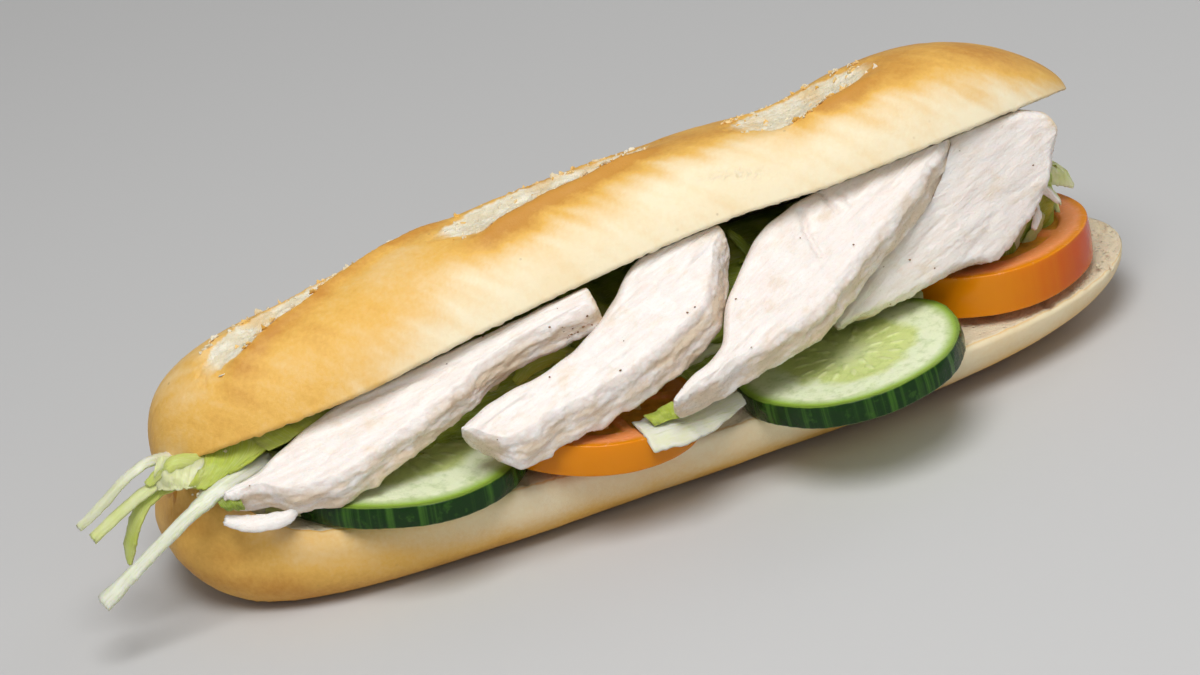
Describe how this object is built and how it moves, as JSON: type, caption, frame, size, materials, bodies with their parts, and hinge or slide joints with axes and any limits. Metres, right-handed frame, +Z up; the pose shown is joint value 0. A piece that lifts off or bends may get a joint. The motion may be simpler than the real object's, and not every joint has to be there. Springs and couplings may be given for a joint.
{
  "type": "submarine sandwich",
  "caption": "Long soft split roll, cut open along the front, filled with overlapping sliced chicken over cucumber, tomato and shredded lettuce",
  "frame": {"origin": "centre of the flat patch under the roll, on the plane it rests on", "axes": "+X along the roll toward its thinner end, -Y toward the open side that shows the filling, +Z up"},
  "size_m": [0.2435, 0.0851, 0.0719],
  "materials": {
    "bread": "baked crust, golden above and pale cream at the cut edge, softly matte, with open crumb on the cut faces",
    "chicken": "cooked white meat, slightly moist, with fine grain and pepper specks",
    "cucumber": "wet pale green flesh with a dark green skin",
    "tomato": "wet orange-red flesh and glossy skin",
    "lettuce": "crisp pale green leaf with a faint sheen"
  },
  "bodies": {
    "root": {"bread_roll": "bread", "chicken_slice_1": "chicken", "chicken_slice_2": "chicken", "chicken_slice_3": "chicken", "chicken_slice_4": "chicken", "cucumber_slice_1": "cucumber", "cucumber_slice_2": "cucumber", "tomato_slice_1": "tomato", "tomato_slice_2": "tomato", "lettuce_leaf": "lettuce", "shredded_lettuce": "lettuce"}
  },
  "joints": []
}
